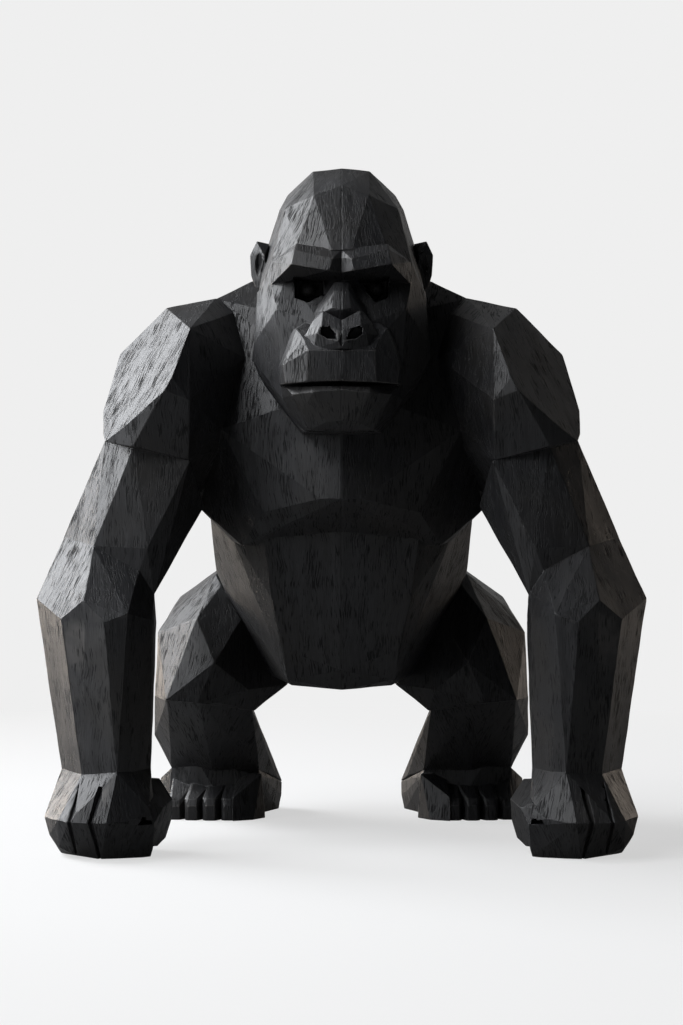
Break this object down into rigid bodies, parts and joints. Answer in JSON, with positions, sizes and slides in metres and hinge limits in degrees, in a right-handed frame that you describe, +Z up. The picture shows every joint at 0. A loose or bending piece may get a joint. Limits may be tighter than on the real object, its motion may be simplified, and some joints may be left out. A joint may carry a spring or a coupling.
{
  "type": "gorilla figurine",
  "caption": "Carved faceted wooden gorilla figurine standing on its fists and feet, stained black; a decorative statue for a shelf or table.",
  "frame": {"origin": "on the ground, under the middle of the figurine's bounding box", "axes": "+Z up, the face looks towards -Y, +X to the animal's left"},
  "size_m": [0.27, 0.2213, 0.3045],
  "materials": {
    "black_stained_wood": "satin black stain, open grain"
  },
  "bodies": {
    "root": {"gorilla_figurine": "black_stained_wood"}
  },
  "joints": []
}
